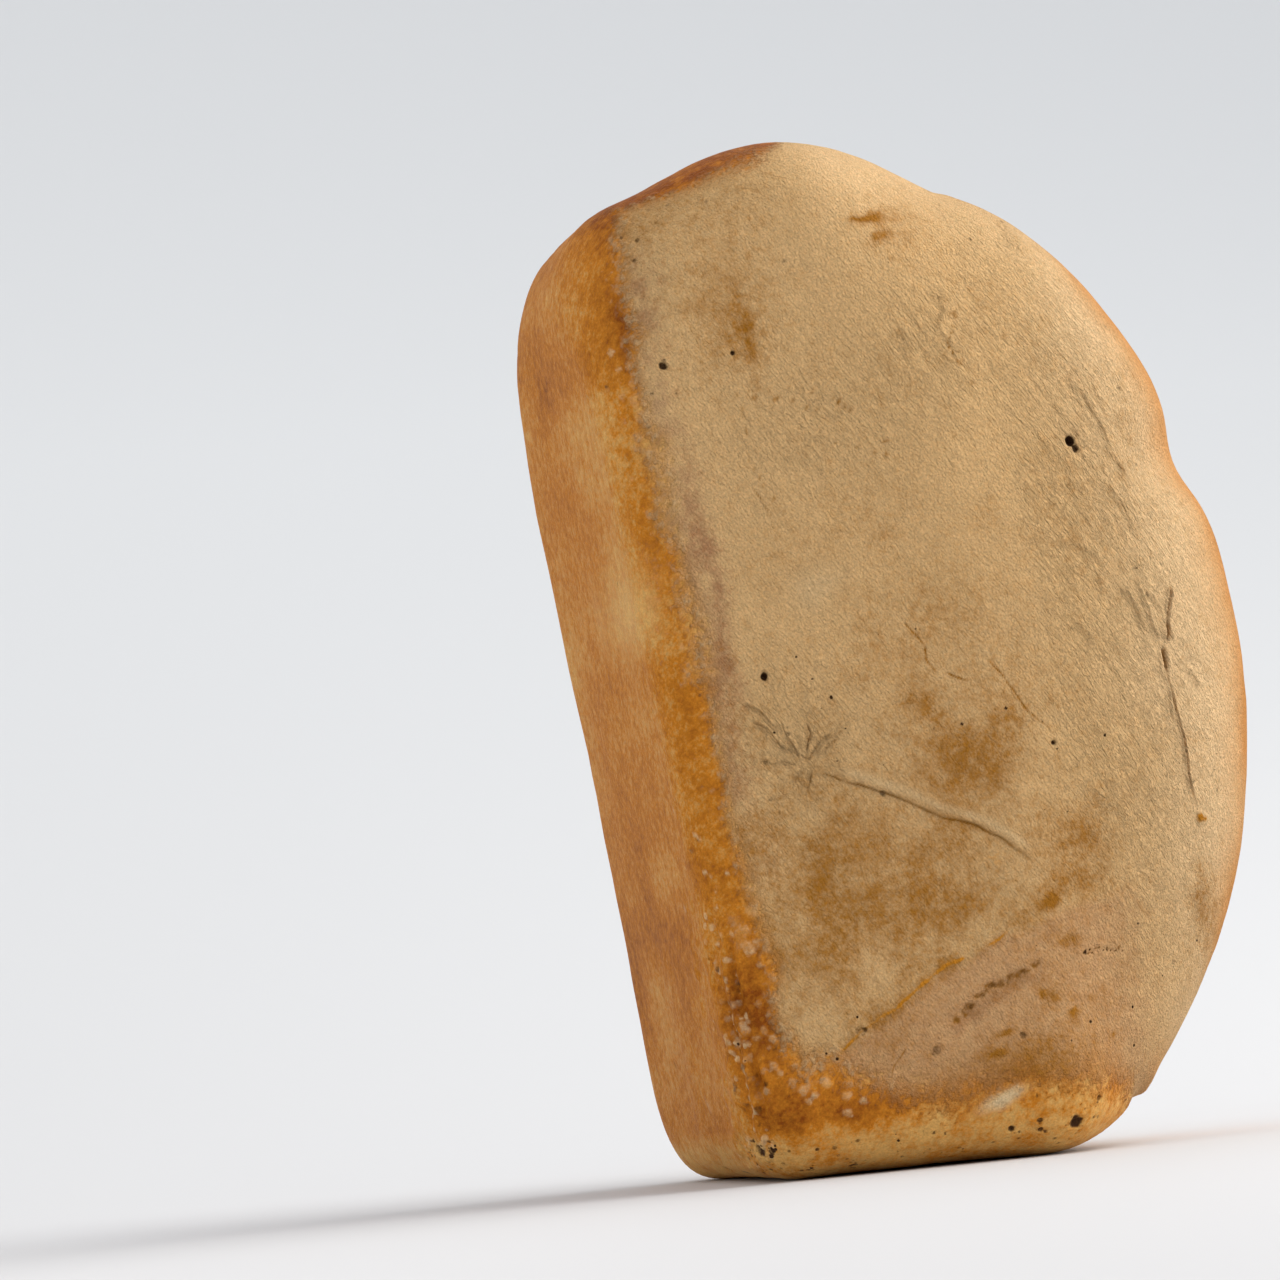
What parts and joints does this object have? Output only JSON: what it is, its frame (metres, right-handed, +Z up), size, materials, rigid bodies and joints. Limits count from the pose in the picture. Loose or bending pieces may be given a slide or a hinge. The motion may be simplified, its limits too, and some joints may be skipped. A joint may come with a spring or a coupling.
{
  "type": "tin loaf",
  "caption": "Domed white tin loaf, baked in an open tapered tin, standing on its flat foot end; it can also lie on its flat base.",
  "frame": {"origin": "centre of the bounding box's bottom, on the surface that the loaf stands on", "axes": "+Z up along the loaf's length, from the foot end to the head end; +X towards the domed top crust, so the flat base looks towards -X; +Y across the width"},
  "size_m": [0.1472, 0.1122, 0.2218],
  "materials": {
    "crust": "matt, floury tan skin with golden-brown, slightly glossy edges"
  },
  "bodies": {
    "root": {"loaf": "crust"}
  },
  "joints": []
}
